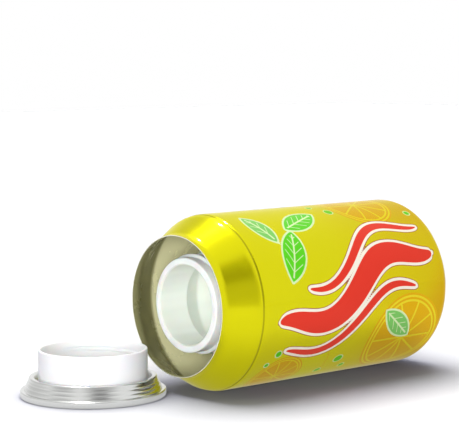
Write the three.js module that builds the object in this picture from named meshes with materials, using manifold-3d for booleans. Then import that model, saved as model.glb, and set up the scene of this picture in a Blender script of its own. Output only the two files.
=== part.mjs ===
// Can diversion safe: a drinks can on its side, with its screw-off end standing beside the mouth.
// Millimetres, +Z up. The can's axis runs along X and its mouth looks towards -X.
// Depths are measured along the can's axis from the top of the seam of the closed can.

import * as THREE from 'three';
import { mergeVertices } from 'three/addons/utils/BufferGeometryUtils.js';
import Module from 'manifold-3d';

const wasm = await Module();
wasm.setup();

// Driving dimensions of the can
const CAN_RADIUS = 33.1;
const CAN_LENGTH = 122;
const CAN_WALL = 0.3;
const NECK_STRAIGHT = 2.2;
const NECK_ANGLE = THREE.MathUtils.degToRad(31);
const NECK_FILLET = 6;
const SHOULDER_FILLET = 9;
const STAND_RADIUS = 24.9;
const STAND_WIDTH = 1.5;
const STAND_FILLET = 0.6;
const CHIME_HEIGHT = 9.2;
const CHIME_FILLET = 5;
const LEG_HEIGHT = 5.6;
const LEG_TAPER = 1.1;
const LEG_FILLET = 1.2;
const DOME_DEPTH = 10.4;

// Driving dimensions of the end, its seam and its tab
const SEAM_HEIGHT = 2.5;
const SEAM_WIDTH = 1.5;
const SEAM_FILLET = 0.4;
const SEAM_OVERHANG = 0.7;
const SEAM_TO_CUT_EDGE = 0.3;
const END_SHEET = 0.3;
const PANEL_DEPTH = 4.2;
const PANEL_FILLET = 0.8;
const COUNTERSINK_DEPTH = 7.1;
const COUNTERSINK_RUN = 1.5;
const COUNTERSINK_FILLET = 0.6;
const CHUCK_RUN = 1.9;
const CHUCK_BEADS = 3;
const CHUCK_BEAD_HEIGHT = 0.35;
const RIVET_SHANK_RADIUS = 1.6;
const RIVET_HEAD_RADIUS = 2.7;
const RIVET_HEAD_HEIGHT = 0.7;
const SCORE_LENGTH = 17;
const SCORE_WIDTH = 22;
const SCORE_START = 3;
const SCORE_LINE = 0.5;
const SCORE_DEPTH = 0.12;
const TAB_WIDTH = 16;
const TAB_NOSE = 9;
const TAB_HEEL = 16;
const TAB_CURL = 1.2;
const TAB_WEB = 0.4;
const TAB_BORDER = 1.5;
const TAB_EDGE_FILLET = 0.3;
const FINGER_HOLE_LENGTH = 6.4;
const FINGER_HOLE_WIDTH = 8.6;
const FINGER_HOLE_FROM_HEEL = 2.9;
const ISLAND_RADIUS = 4;
const ISLAND_SLOT = 0.8;
const ISLAND_HALF_ANGLE = THREE.MathUtils.degToRad(115);
const TAB_GAP = 0.3;

// Driving dimensions of the screw cap and what holds it to the end
const GLUE_RADIUS = 18;
const GLUE_THICKNESS = 0.4;
const CAP_HEIGHT = 12.6;
const CAP_TOP = 1.4;
const CAP_WALL = 1.1;
const CAP_EDGE_FILLET = 0.7;
const LINER_THICKNESS = 0.9;
const LINER_GAP = 0.4;

// Driving dimensions of the jar and its thread
const JAR_LENGTH = 98.7;
const JAR_WALL = 1.3;
const JAR_BOTTOM = 1.6;
const JAR_BORE = 15;
const JAR_EDGE_FILLET = 3;
const JAR_SHOULDER_RISE = 12;
const JAR_SHOULDER_FILLET = 4;
const JAR_RIM_FILLET = 0.6;
const NECK_ROOT_RADIUS = 17.7;
const NECK_BEAD_HEIGHT = 1.1;
const NECK_BEAD_WIDTH = 1.1;
const THREAD_HEIGHT = 1.1;
const THREAD_PITCH = 4.233;
const THREAD_TURNS = 1.25;
const THREAD_ROOT = 2;
const THREAD_CREST = 0.9;
const THREAD_SINK = 0.3;
const THREAD_FROM_RIM = 2.4;
const CAP_THREAD_FROM_LINER = 2;

// Driving dimensions of the ballast
const BALLAST_DEPTH = 40;

// Clearances
const JAR_PASSES_NECK = 1;
const THREAD_CLEARANCE = 0.3;
const CREST_CLEARANCE = 0.4;
const CLOSED_GAP = 0.1;
const CAP_TO_SHOULDER = 1.5;
const CAP_TO_PANEL_EDGE = 1;
const BALLAST_GAP = 0.3;

// Where the end stands: its cap's edge before the can's mouth, its middle aside of the can's axis
const CAP_TO_MOUTH = 1.6;
const END_ASIDE = 22;
const TAB_TURN = THREE.MathUtils.degToRad(200);

// Faces round a turned piece and along its arcs
const CAN_SEGMENTS = 56;
const END_SEGMENTS = 48;
const PLASTIC_SEGMENTS = 40;
const ARC_STEP = THREE.MathUtils.degToRad(32);
const DOME_STEPS = 4;
const OVAL_STEPS = 14;

// Depths of the pieces of the closed can, from the seam's top inwards
const cutEdge = SEAM_HEIGHT + SEAM_TO_CUT_EDGE;
const panelInside = PANEL_DEPTH + END_SHEET;
const capOutside = panelInside + GLUE_THICKNESS;
const capInside = capOutside + CAP_TOP;
const linerFace = capInside + LINER_THICKNESS;
const jarRim = linerFace + CLOSED_GAP;
const jarShoulder = capOutside + CAP_HEIGHT + CAP_TO_SHOULDER;
const jarEnd = jarRim + JAR_LENGTH;
const domeDepth = CAN_LENGTH - DOME_DEPTH;

// Radii and the end's place that follow from what screws onto or passes through what
const threadRadius = NECK_ROOT_RADIUS + THREAD_HEIGHT;
const capBore = threadRadius + THREAD_CLEARANCE;
const capRadius = capBore + CAP_WALL;
const capThreadHeight = capBore - NECK_ROOT_RADIUS - CREST_CLEARANCE;
const panelRadius = capRadius + CAP_TO_PANEL_EDGE;
const countersinkRadius = panelRadius + COUNTERSINK_RUN;
const crestRadius = countersinkRadius + COUNTERSINK_FILLET + END_SHEET;
const seamInside = crestRadius + CHUCK_RUN;
const seamRadius = seamInside + SEAM_WIDTH;
const neckRadius = seamRadius - SEAM_OVERHANG;
const jarRadius = neckRadius - CAN_WALL - JAR_PASSES_NECK;
const endForward = capRadius + CAP_TO_MOUTH - cutEdge;

// Points along a run of corners, each given as radius, depth and fillet radius
function rounded(corners) {
  const points = [];
  corners.forEach(([radius, depth, fillet = 0], index) => {
    const corner = new THREE.Vector2(radius, depth);
    if (fillet === 0) {
      points.push(corner);
      return;
    }
    const back = new THREE.Vector2(...corners[index - 1].slice(0, 2)).sub(corner).normalize();
    const on = new THREE.Vector2(...corners[index + 1].slice(0, 2)).sub(corner).normalize();
    const half = Math.acos(back.dot(on)) / 2;
    const centre = back.clone().add(on).setLength(fillet / Math.sin(half)).add(corner);
    const spoke = back.clone().multiplyScalar(fillet / Math.tan(half)).add(corner).sub(centre);
    const turn = (Math.PI - 2 * half) * Math.sign(on.cross(back));
    const steps = Math.max(1, Math.round(Math.abs(turn) / ARC_STEP));
    for (let step = 0; step <= steps; step++) {
      const reach = spoke.clone().rotateAround(new THREE.Vector2(), (turn * step) / steps);
      points.push(reach.add(centre));
    }
  });
  return points;
}

// Points of a run moved sideways, to the left of its direction
function offset(points, distance) {
  return points.map((point, index) => {
    const before = points[Math.max(index - 1, 0)];
    const after = points[Math.min(index + 1, points.length - 1)];
    const arriving = (index === 0 ? after.clone().sub(point) : point.clone().sub(before)).normalize();
    const leaving = (point === after ? arriving.clone() : after.clone().sub(point)).normalize();
    const normal = new THREE.Vector2(-arriving.y - leaving.y, arriving.x + leaving.x);
    const miter = distance / Math.cos(Math.acos(Math.min(1, arriving.dot(leaving))) / 2);
    return normal.setLength(miter).add(point);
  });
}

// Turned piece about Z from a profile of radius and depth, outer side towards greater depth
function turned(profile, segments) {
  return new THREE.LatheGeometry(profile, segments).rotateX(Math.PI / 2);
}

// Flat outline made a plate between two depths
function plate(shape, from, to) {
  const options = { depth: to - from, bevelEnabled: false, curveSegments: OVAL_STEPS };
  return new THREE.ExtrudeGeometry(shape, options).translate(0, 0, from);
}

// Closed geometry made a solid that can be joined and cut
function solid(geometry) {
  const bare = geometry.clone();
  bare.deleteAttribute('normal');
  bare.deleteAttribute('uv');
  const merged = mergeVertices(bare);
  const corners = merged.getIndex().array;
  const faces = [];
  for (let i = 0; i < corners.length; i += 3) {
    const [a, b, c] = [corners[i], corners[i + 1], corners[i + 2]];
    if (a !== b && b !== c && c !== a) {
      faces.push(a, b, c);
    }
  }
  return new wasm.Manifold(new wasm.Mesh({
    numProp: 3,
    vertProperties: new Float32Array(merged.getAttribute('position').array),
    triVerts: new Uint32Array(faces),
  }));
}

// Solid made a geometry again
function geometryOf(body) {
  const mesh = body.getMesh();
  const geometry = new THREE.BufferGeometry();
  geometry.setAttribute('position', new THREE.BufferAttribute(mesh.vertProperties, 3));
  geometry.setIndex(new THREE.BufferAttribute(mesh.triVerts, 1));
  geometry.computeVertexNormals();
  return geometry;
}

// Thread ridge: a straight bar of trapezoid section bent round the axis into a right-hand helix.
// A positive height stands out of a neck, a negative one stands inwards out of a bore.
function threadRidge(radius, height, start) {
  const sink = -Math.sign(height) * THREAD_SINK;
  const section = new THREE.Shape([
    new THREE.Vector2(sink, -THREAD_ROOT / 2),
    new THREE.Vector2(height, -THREAD_CREST / 2),
    new THREE.Vector2(height, THREAD_CREST / 2),
    new THREE.Vector2(sink, THREAD_ROOT / 2),
  ]);
  const steps = Math.round(THREAD_TURNS * 24);
  const bar = new THREE.ExtrudeGeometry(section, { depth: 1, steps, bevelEnabled: false });
  const position = bar.getAttribute('position');
  for (let i = 0; i < position.count; i++) {
    const along = position.getZ(i);
    const fade = Math.min(1, 0.1 + 6 * Math.min(along, 1 - along));
    const out = position.getX(i);
    const rise = out === sink ? out : out * fade;
    const angle = -along * THREAD_TURNS * 2 * Math.PI;
    const depth = start + position.getY(i) + (1 - along) * THREAD_TURNS * THREAD_PITCH;
    position.setXYZ(i, (radius + rise) * Math.cos(angle), (radius + rise) * Math.sin(angle), depth);
  }
  return bar;
}

// Drawn can body: necked mouth, straight wall, chime with its stand ring and the domed base
function canBody() {
  const coneEnd = cutEdge + NECK_STRAIGHT + (CAN_RADIUS - neckRadius) / Math.tan(NECK_ANGLE);
  const legRadius = STAND_RADIUS - STAND_WIDTH;
  const domeEdgeRadius = legRadius - LEG_TAPER;
  const domeEdge = CAN_LENGTH - LEG_HEIGHT;
  const wall = rounded([
    [neckRadius, cutEdge],
    [neckRadius, cutEdge + NECK_STRAIGHT, NECK_FILLET],
    [CAN_RADIUS, coneEnd, SHOULDER_FILLET],
    [CAN_RADIUS, CAN_LENGTH - CHIME_HEIGHT, CHIME_FILLET],
    [STAND_RADIUS, CAN_LENGTH, STAND_FILLET],
    [legRadius, CAN_LENGTH, STAND_FILLET],
    [domeEdgeRadius, domeEdge, LEG_FILLET],
    [0, domeDepth],
  ]);
  const rise = domeEdge - domeDepth;
  const sphere = (domeEdgeRadius ** 2 + rise ** 2) / (2 * rise);
  const leg = wall.slice(0, -1);
  const start = leg[leg.length - 1].x;
  const dome = [];
  for (let step = 1; step <= DOME_STEPS; step++) {
    const radius = start * (1 - step / DOME_STEPS);
    dome.push(new THREE.Vector2(radius, domeDepth + sphere - Math.sqrt(sphere ** 2 - radius ** 2)));
  }
  const outside = [...leg, ...dome];
  const inside = offset(outside, CAN_WALL).reverse();
  inside[0].x = 0;
  return turned([...inside, ...outside], CAN_SEGMENTS);
}

// Ballast cast round and under the jar, clear of the stand ring's hollow
function weightFill() {
  const outer = CAN_RADIUS - CAN_WALL - BALLAST_GAP;
  const inner = jarRadius + BALLAST_GAP;
  const edge = STAND_RADIUS - STAND_WIDTH - LEG_TAPER;
  const rise = DOME_DEPTH - LEG_HEIGHT;
  const sphere = (edge ** 2 + rise ** 2) / (2 * rise);
  const top = domeDepth - CAN_WALL - BALLAST_GAP;
  const profile = rounded([
    [0, jarEnd + BALLAST_GAP],
    [inner - BALLAST_GAP, jarEnd + BALLAST_GAP],
    [inner, jarEnd - JAR_EDGE_FILLET],
    [inner, BALLAST_DEPTH],
    [outer, BALLAST_DEPTH],
    [outer, CAN_LENGTH - CHIME_HEIGHT - CHIME_FILLET],
    [edge + LEG_TAPER, CAN_LENGTH - LEG_HEIGHT - LEG_FILLET - BALLAST_GAP],
  ]);
  for (let step = 0; step <= DOME_STEPS; step++) {
    const radius = edge * (1 - step / DOME_STEPS);
    profile.push(new THREE.Vector2(radius, top + sphere - Math.sqrt(sphere ** 2 - radius ** 2)));
  }
  return turned(profile, PLASTIC_SEGMENTS);
}

// Blow-moulded jar: threaded neck with a transfer bead, sloping shoulder and rounded bottom
function innerJar() {
  const bodyBore = jarRadius - JAR_WALL;
  const shoulderEnd = jarShoulder + JAR_SHOULDER_RISE;
  const profile = rounded([
    [0, jarEnd - JAR_BOTTOM],
    [bodyBore, jarEnd - JAR_BOTTOM, JAR_EDGE_FILLET - JAR_WALL],
    [bodyBore, shoulderEnd + JAR_WALL, JAR_SHOULDER_FILLET],
    [JAR_BORE, jarShoulder + JAR_WALL],
    [JAR_BORE, jarRim, JAR_RIM_FILLET],
    [NECK_ROOT_RADIUS, jarRim, JAR_RIM_FILLET],
    [NECK_ROOT_RADIUS, jarShoulder - NECK_BEAD_WIDTH],
    [NECK_ROOT_RADIUS + NECK_BEAD_HEIGHT, jarShoulder - NECK_BEAD_WIDTH],
    [NECK_ROOT_RADIUS + NECK_BEAD_HEIGHT, jarShoulder],
    [jarRadius, shoulderEnd, JAR_SHOULDER_FILLET],
    [jarRadius, jarEnd, JAR_EDGE_FILLET],
    [0, jarEnd],
  ]);
  const ridge = threadRidge(NECK_ROOT_RADIUS, THREAD_HEIGHT, jarRim + THREAD_FROM_RIM);
  return geometryOf(solid(turned(profile, PLASTIC_SEGMENTS)).add(solid(ridge)));
}

// Beads rolled round the flank between two corners of the end's profile
function chuckBeads([lowRadius, lowDepth], [highRadius, highDepth]) {
  const low = new THREE.Vector2(lowRadius, lowDepth);
  const pitch = new THREE.Vector2(highRadius, highDepth).sub(low).divideScalar(CHUCK_BEADS);
  const out = new THREE.Vector2(pitch.y, -pitch.x).setLength(CHUCK_BEAD_HEIGHT);
  const corners = [];
  for (let bead = 0; bead < CHUCK_BEADS; bead++) {
    for (const [along, rise] of [[0.3, 1], [0.7, 1], [1, 0]]) {
      const corner = low.clone().addScaledVector(pitch, bead + along).addScaledVector(out, rise);
      corners.push(corner.toArray());
    }
  }
  return corners.slice(0, -1);
}

// Can end: seam, beaded chuck wall, countersink, centre panel and its rivet button, with a scored opening
function lidEnd() {
  const seamFoot = [seamInside, SEAM_HEIGHT];
  const crestDepth = COUNTERSINK_DEPTH + END_SHEET;
  const headOutside = PANEL_DEPTH - 2 * TAB_GAP - TAB_WEB - RIVET_HEAD_HEIGHT;
  const headInside = headOutside + RIVET_HEAD_HEIGHT;
  const profile = rounded([
    [0, headOutside],
    [RIVET_HEAD_RADIUS, headOutside],
    [RIVET_HEAD_RADIUS, headInside],
    [RIVET_SHANK_RADIUS, headInside],
    [RIVET_SHANK_RADIUS, PANEL_DEPTH],
    [panelRadius, PANEL_DEPTH, PANEL_FILLET],
    [countersinkRadius - COUNTERSINK_FILLET, COUNTERSINK_DEPTH],
    [countersinkRadius + COUNTERSINK_FILLET, COUNTERSINK_DEPTH],
    [seamInside, 0, SEAM_FILLET],
    [seamRadius, 0, SEAM_FILLET],
    [seamRadius, SEAM_HEIGHT, SEAM_FILLET],
    seamFoot,
    ...chuckBeads(seamFoot, [crestRadius, crestDepth - COUNTERSINK_FILLET]),
    [crestRadius, crestDepth, COUNTERSINK_FILLET],
    [countersinkRadius - COUNTERSINK_FILLET - END_SHEET, crestDepth, COUNTERSINK_FILLET],
    [panelRadius - END_SHEET, panelInside, PANEL_FILLET],
    [0, panelInside],
  ]);
  const centre = SCORE_START + SCORE_LENGTH / 2;
  const score = new THREE.Shape();
  score.absellipse(centre, 0, SCORE_LENGTH / 2, SCORE_WIDTH / 2, 0, 2 * Math.PI);
  const inner = new THREE.Path();
  inner.absellipse(centre, 0, SCORE_LENGTH / 2 - SCORE_LINE, SCORE_WIDTH / 2 - SCORE_LINE, 0, 2 * Math.PI);
  score.holes.push(inner);
  const groove = plate(score, PANEL_DEPTH - SCORE_DEPTH, PANEL_DEPTH + SCORE_DEPTH);
  return geometryOf(solid(turned(profile, END_SEGMENTS)).subtract(solid(groove.rotateZ(TAB_TURN))));
}

// Outline of the tab with round ends, moved inwards by an inset
function tabOutline(inset, Kind = THREE.Shape) {
  const radius = TAB_WIDTH / 2 - inset;
  const outline = new Kind();
  outline.absarc(TAB_NOSE - TAB_WIDTH / 2, 0, radius, -Math.PI / 2, Math.PI / 2);
  outline.absarc(TAB_WIDTH / 2 - TAB_HEEL, 0, radius, Math.PI / 2, 1.5 * Math.PI);
  return outline;
}

// Stay-on tab: curled border, thin web, finger hole with its lip and the slot round the rivet's island
function pullTab() {
  const inner = PANEL_DEPTH - TAB_GAP;
  const outer = inner - TAB_CURL;
  const web = inner - TAB_WEB;
  const border = new THREE.ExtrudeGeometry(tabOutline(TAB_EDGE_FILLET), {
    depth: TAB_CURL - 2 * TAB_EDGE_FILLET,
    bevelThickness: TAB_EDGE_FILLET,
    bevelSize: TAB_EDGE_FILLET,
    bevelSegments: 2,
    curveSegments: OVAL_STEPS / 2,
  }).translate(0, 0, outer + TAB_EDGE_FILLET);
  const holeCentre = FINGER_HOLE_FROM_HEEL + FINGER_HOLE_LENGTH / 2 - TAB_HEEL;
  const hole = (grow, Kind) => {
    const oval = new Kind();
    const [length, width] = [FINGER_HOLE_LENGTH / 2 + grow, FINGER_HOLE_WIDTH / 2 + grow];
    oval.absellipse(holeCentre, 0, length, width, 0, 2 * Math.PI);
    return oval;
  };
  const pocket = tabOutline(TAB_BORDER);
  pocket.holes.push(hole(TAB_WEB, THREE.Path));
  const slot = new THREE.Shape();
  slot.absarc(0, 0, ISLAND_RADIUS + ISLAND_SLOT, -ISLAND_HALF_ANGLE, ISLAND_HALF_ANGLE);
  slot.absarc(0, 0, ISLAND_RADIUS, ISLAND_HALF_ANGLE, -ISLAND_HALF_ANGLE, true);
  const bore = new THREE.Shape();
  bore.absarc(0, 0, RIVET_SHANK_RADIUS + TAB_GAP, 0, 2 * Math.PI);
  const cuts = [
    plate(pocket, outer - TAB_CURL, web),
    plate(hole(0, THREE.Shape), outer - TAB_CURL, PANEL_DEPTH),
    plate(slot, outer - TAB_CURL, PANEL_DEPTH),
    plate(bore, outer - TAB_CURL, PANEL_DEPTH),
  ];
  const tab = cuts.reduce((rest, cut) => rest.subtract(solid(cut)), solid(border));
  return geometryOf(tab).rotateZ(TAB_TURN);
}

// Glue between the end's panel and the cap
function glueDisc() {
  const profile = rounded([
    [0, panelInside],
    [GLUE_RADIUS, panelInside],
    [GLUE_RADIUS, capOutside],
    [0, capOutside],
  ]);
  return turned(profile, PLASTIC_SEGMENTS);
}

// Screw cap, open away from the end, with the thread inside its skirt
function screwCap() {
  const capRim = capOutside + CAP_HEIGHT;
  const profile = rounded([
    [0, capOutside],
    [capRadius, capOutside, CAP_EDGE_FILLET],
    [capRadius, capRim, CAP_WALL / 3],
    [capBore, capRim, CAP_WALL / 3],
    [capBore, capInside],
    [0, capInside],
  ]);
  const ridge = threadRidge(capBore, -capThreadHeight, linerFace + CAP_THREAD_FROM_LINER);
  return geometryOf(solid(turned(profile, PLASTIC_SEGMENTS)).add(solid(ridge)));
}

// Sealing disc pressed into the cap
function capLiner() {
  const radius = capBore - LINER_GAP;
  const profile = rounded([
    [0, capInside],
    [radius, capInside],
    [radius, linerFace],
    [0, linerFace],
  ]);
  return turned(profile, PLASTIC_SEGMENTS);
}

// Finishes of the pieces
const enamel = new THREE.MeshStandardMaterial({ color: 0xd9d000, roughness: 0.25, metalness: 0.4 });
const tin = new THREE.MeshStandardMaterial({ color: 0xc9cac8, roughness: 0.25, metalness: 1 });
const tabMetal = new THREE.MeshStandardMaterial({ color: 0xbfc0be, roughness: 0.35, metalness: 1 });
const jarPlastic = new THREE.MeshStandardMaterial({ color: 0xf0f3ec, roughness: 0.4, metalness: 0 });
const capPlastic = new THREE.MeshStandardMaterial({ color: 0xf4f4f4, roughness: 0.45, metalness: 0 });
const foam = new THREE.MeshStandardMaterial({ color: 0xe6e6e0, roughness: 0.8, metalness: 0 });
const glue = new THREE.MeshStandardMaterial({ color: 0xe8dfc0, roughness: 0.5, metalness: 0 });
const plaster = new THREE.MeshStandardMaterial({ color: 0xcfcabd, roughness: 0.9, metalness: 0 });

// Adds a named piece to a group
function addPiece(group, name, geometry, material) {
  const mesh = new THREE.Mesh(geometry, material);
  mesh.name = name;
  group.add(mesh);
}

// The bounding box runs from the end's seam to the can's stand ring
const lowX = Math.min(cutEdge, -endForward - seamRadius);
const highY = Math.max(CAN_RADIUS, END_ASIDE + seamRadius);
const centreX = (lowX + CAN_LENGTH) / 2;
const centreY = (highY - CAN_RADIUS) / 2;

const can = new THREE.Group();
addPiece(can, 'can_body', canBody(), enamel);
addPiece(can, 'inner_jar', innerJar(), jarPlastic);
addPiece(can, 'weight_fill', weightFill(), plaster);
can.rotation.y = Math.PI / 2;
can.position.set(-centreX, -centreY, CAN_RADIUS);

const end = new THREE.Group();
addPiece(end, 'lid_end', lidEnd(), tin);
addPiece(end, 'pull_tab', pullTab(), tabMetal);
addPiece(end, 'glue_disc', glueDisc(), glue);
addPiece(end, 'screw_cap', screwCap(), capPlastic);
addPiece(end, 'cap_liner', capLiner(), foam);
end.position.set(-endForward - centreX, END_ASIDE - centreY, 0);

const group = new THREE.Group();
group.add(can, end);

export default group;
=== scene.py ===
"""Looks of a can diversion safe.

A printed drinks can lies on its side with a threaded jar inside its open neck. Its silver end, with
a white screw cap glued to it, stands upside down on the table beside the mouth. Lengths inside the
classes are in millimetres and become metres when a mesh is placed. The can's own coordinates are a
radius and a depth, and depth zero is the top of the seam of the closed can.
"""

from __future__ import annotations

import logging
import math
from collections.abc import Callable
from dataclasses import dataclass, field
from enum import Enum

import bmesh
import bpy
import numpy as np
from mathutils import Matrix, Quaternion, Vector

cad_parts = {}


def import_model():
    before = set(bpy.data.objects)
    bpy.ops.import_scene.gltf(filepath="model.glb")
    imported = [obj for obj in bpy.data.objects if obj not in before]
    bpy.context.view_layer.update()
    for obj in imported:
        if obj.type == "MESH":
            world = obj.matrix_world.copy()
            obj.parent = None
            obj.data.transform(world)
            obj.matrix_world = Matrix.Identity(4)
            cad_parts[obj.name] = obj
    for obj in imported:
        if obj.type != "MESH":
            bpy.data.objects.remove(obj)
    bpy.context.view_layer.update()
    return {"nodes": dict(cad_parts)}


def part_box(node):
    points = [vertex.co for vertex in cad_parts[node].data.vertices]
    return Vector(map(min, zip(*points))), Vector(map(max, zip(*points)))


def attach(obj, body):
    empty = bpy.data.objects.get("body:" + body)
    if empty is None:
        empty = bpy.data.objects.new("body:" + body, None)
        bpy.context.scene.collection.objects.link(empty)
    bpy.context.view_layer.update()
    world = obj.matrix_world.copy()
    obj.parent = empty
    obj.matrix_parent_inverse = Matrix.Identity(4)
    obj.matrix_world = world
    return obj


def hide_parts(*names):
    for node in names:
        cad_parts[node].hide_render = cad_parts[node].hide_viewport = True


LOG = logging.getLogger("can_safe")
MM = 0.001
PICTURE_WIDTH = 459
SENSOR_WIDTH = 36.0
FAR = 99.0
WHITE = (1.0, 1.0, 1.0)
BLACK = (0.0, 0.0, 0.0)

Corner = tuple[float, float, float]
Colour = tuple[float, float, float]
Numbers = np.ndarray
Node = bpy.types.Node
Socket = bpy.types.NodeSocket
Sockets = tuple[Socket, ...]
Given = dict[str, Socket]
Tree = bpy.types.NodeTree
Piece = bpy.types.Object
Mesh = bmesh.types.BMesh


class Slot(Enum):
    """Material slots of the record."""

    ENAMEL = "can_enamel"
    END = "end_metal"
    TAB = "tab_metal"
    JAR = "jar_plastic"
    CAP = "cap_plastic"
    LINER = "liner_foam"
    GLUE = "glue"
    BALLAST = "ballast"


class Skin(Enum):
    """Surfaces of the can's shell, by material number."""

    ENAMEL = 0
    LACQUER = 1
    CUT_EDGE = 2
    BARE_BASE = 3


class LampKind(Enum):
    """Kinds of lamp, with the name that each gives its width."""

    SUN = "angle"
    AREA = "size"
    POINT = "shadow_soft_size"


def srgb(*screen: int) -> Colour:
    """Linear colour, as shaders take it, of red, green and blue screen values from 0 to 255."""
    shares = [value / 255 for value in screen]
    return tuple(part / 12.92 if part <= 0.04045 else ((part + 0.055) / 1.055) ** 2.4 for part in shares)


class Nodes:
    """A node tree with short ways to add, set and link its nodes."""

    def __init__(self, tree: Tree) -> None:
        """Takes the tree of a material, a world or a group, and empties it."""
        self.tree = tree
        tree.nodes.clear()

    def add(self, kind: str, *values: object, **settings: object) -> Node:
        """Adds a node, sets its properties and feeds its first inputs.

        Args:
            kind: the node's type name, without ShaderNode before it.
            values: what the first inputs take; None leaves an input alone.
            settings: properties of the node, by name.

        Returns:
            The new node.
        """
        node = self.tree.nodes.new(kind if kind.startswith("NodeGroup") else f"ShaderNode{kind}")
        for name, value in settings.items():
            setattr(node, name, value)
        for socket, value in zip(node.inputs, values):
            self.feed(socket, value)
        return node

    def feed(self, socket: Socket, value: object) -> None:
        """Links an output to a socket, or sets the socket's own value.

        Args:
            socket: the input to feed.
            value: an output, a number, a vector, a colour of three values, or None for nothing.
        """
        if isinstance(value, Socket):
            self.tree.links.new(value, socket)
        elif value is not None:
            socket.default_value = (*value, 1.0) if socket.type == "RGBA" else value

    def fill(self, node: Node, **values: object) -> Node:
        """Feeds a node's inputs by name.

        Args:
            node: the node.
            values: what the inputs take, by name, with underscores for spaces.

        Returns:
            The same node.
        """
        for name, value in values.items():
            self.feed(node.inputs[name.replace("_", " ")], value)
        return node

    def maths(self, operation: str, *values: object, clamp: bool = False) -> Socket:
        """Result of a maths node for its numbers or outputs, kept from 0 to 1 if clamped."""
        return self.add("Math", *values, operation=operation, use_clamp=clamp).outputs[0]

    def mix(self, share: object, first: object, second: object, blend: str = "MIX") -> Socket:
        """Mixed colour of two, with this share of the second."""
        colours = (share, *[None] * 5, first, second)
        return self.add("Mix", *colours, data_type="RGBA", blend_type=blend, clamp_factor=True).outputs[2]

    def ramp(self, value: object, low: float, high: float, out_low: float = 0.0, out_high: float = 1.0,
             kind: str = "SMOOTHSTEP") -> Socket:
        """Value mapped from one range to another, with a step eased at both ends or of another kind."""
        return self.add("MapRange", value, low, high, out_low, out_high, interpolation_type=kind).outputs[0]

    def noise(self, vector: Socket, scale: object, detail: float, roughness: float = 0.5) -> Socket:
        """Value of a noise texture of a fineness, a number of octaves and their weight."""
        node = self.add("TexNoise", noise_dimensions="3D")
        return self.fill(node, Vector=vector, Scale=scale, Detail=detail, Roughness=roughness).outputs["Fac"]

    def length(self, first: Socket, second: Socket) -> Socket:
        """Length of the arrow that two numbers make."""
        squares = self.maths("MULTIPLY_ADD", second, second, self.maths("MULTIPLY", first, first))
        return self.maths("SQRT", squares)

    def split(self, vector: Socket) -> list[Socket]:
        """The three numbers of a vector."""
        return list(self.add("SeparateXYZ", vector).outputs)

    def group(self, tree: Tree, **values: object) -> Node:
        """Places a shader group with its own values, by name."""
        return self.fill(self.add("Group", node_tree=tree), **values)


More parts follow.
